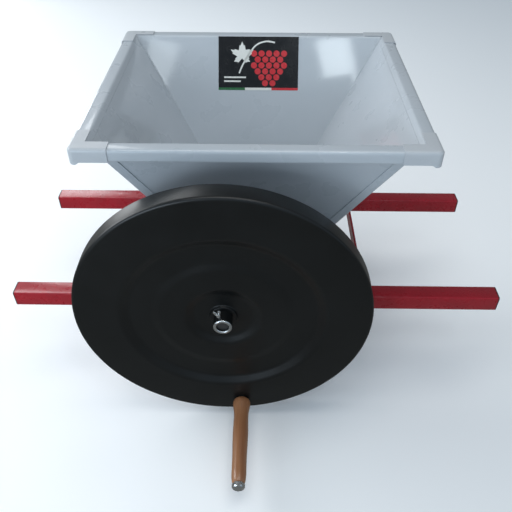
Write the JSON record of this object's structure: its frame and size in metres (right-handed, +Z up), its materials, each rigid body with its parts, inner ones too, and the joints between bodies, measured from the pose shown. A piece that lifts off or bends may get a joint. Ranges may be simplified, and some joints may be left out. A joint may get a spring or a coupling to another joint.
{
  "type": "grape crusher destemmer",
  "caption": "Hand-cranked grape crusher and destemmer: sheet hopper over lobed rollers, perforated cage with paddle shaft, black flywheel, wooden grip, red carry bars.",
  "frame": {"origin": "midway between the two carry bars, in the plane of their undersides, which rest on the vat", "axes": "+X right along the carry bars seen from the flywheel, +Y away from the flywheel along the shafts, +Z up"},
  "size_m": [0.9, 0.7437, 0.5524],
  "materials": {
    "red_paint": "textured gloss",
    "hopper_paint": "gloss",
    "grey_paint": "gloss",
    "cover_plastic": "satin",
    "black_plastic": "moulded",
    "label_print": "printed film",
    "zinc": "zinc plated",
    "nylon": "turned",
    "stainless": "brushed",
    "steel": "turned",
    "black_wheel": "satin",
    "cast_aluminium": "cast",
    "cast_iron": "machined teeth, cast web",
    "bronze": "turned",
    "varnished_wood": "varnished beech"
  },
  "bodies": {
    "frame": {"front_bar": "red_paint", "rear_bar": "red_paint", "bar_end_plugs": "black_plastic", "left_tie": "red_paint", "right_tie": "red_paint", "front_end_plate": "grey_paint", "rear_end_plate": "grey_paint", "left_side_plate": "grey_paint", "right_side_plate": "grey_paint", "body_bolts": "zinc", "body_nuts": "zinc", "hopper_front_wall": "hopper_paint", "hopper_rear_wall": "hopper_paint", "hopper_left_wall": "hopper_paint", "hopper_right_wall": "hopper_paint", "hopper_corner_covers": "cover_plastic", "hopper_bolts": "zinc", "hopper_nuts": "zinc", "label": "label_print", "roller_bushes": "nylon", "beater_bushes": "nylon", "flywheel_bush": "nylon", "gear_plate": "grey_paint", "gear_guard": "grey_paint", "guard_screws": "zinc", "idler_axle": "zinc", "idler_axle_nut": "zinc", "destemmer_cage": "stainless", "cage_wing_screws": "zinc", "rear_bearing_strap": "grey_paint", "strap_screws": "zinc", "stem_chute": "grey_paint", "chute_screws": "zinc"},
    "drive_assembly": {"flywheel": "black_wheel", "flywheel_hub": "black_wheel", "wing_bolt": "zinc", "drive_shaft": "steel", "drive_roller": "cast_aluminium", "drive_gear": "cast_iron", "drive_pins": "zinc", "drive_collar": "steel", "crank_bolt": "zinc", "crank_washer": "zinc", "crank_nut": "zinc"},
    "driven_assembly": {"driven_shaft": "steel", "driven_roller": "cast_aluminium", "driven_gear": "cast_iron", "driven_pins": "zinc", "driven_collar": "steel"},
    "idler_assembly": {"idler_gear": "cast_iron", "idler_bush": "bronze"},
    "beater_assembly": {"beater_shaft": "steel", "beater_paddles": "stainless", "beater_pinion": "cast_iron", "beater_pin": "zinc", "beater_collar": "steel"},
    "grip_assembly": {"grip": "varnished_wood", "grip_bush": "bronze"}
  },
  "joints": [
    {"name": "flywheel_spin", "type": "hinge", "parent": "frame", "child": "drive_assembly", "pos_m": [-0.0525, 0, 0.0665], "axis": [0, 1, 0], "continuous": true},
    {"name": "driven_roller_spin", "type": "hinge", "parent": "frame", "child": "driven_assembly", "pos_m": [0.0525, 0, 0.0665], "axis": [0, 1, 0], "continuous": true},
    {"name": "idler_spin", "type": "hinge", "parent": "frame", "child": "idler_assembly", "pos_m": [-0.06085, -0.19, -0.03566], "axis": [0, 1, 0], "continuous": true},
    {"name": "beater_spin", "type": "hinge", "parent": "frame", "child": "beater_assembly", "pos_m": [0, 0, -0.095], "axis": [0, 1, 0], "continuous": true},
    {"name": "grip_spin", "type": "hinge", "parent": "drive_assembly", "child": "grip_assembly", "pos_m": [-0.02436, -0.35, -0.15623], "axis": [0, 1, 0], "continuous": true}
  ],
  "couplings": [
    {"joint": "driven_roller_spin", "follows": "flywheel_spin", "ratio": -1},
    {"joint": "idler_spin", "follows": "flywheel_spin", "ratio": -1.05},
    {"joint": "beater_spin", "follows": "flywheel_spin", "ratio": 1.5}
  ]
}
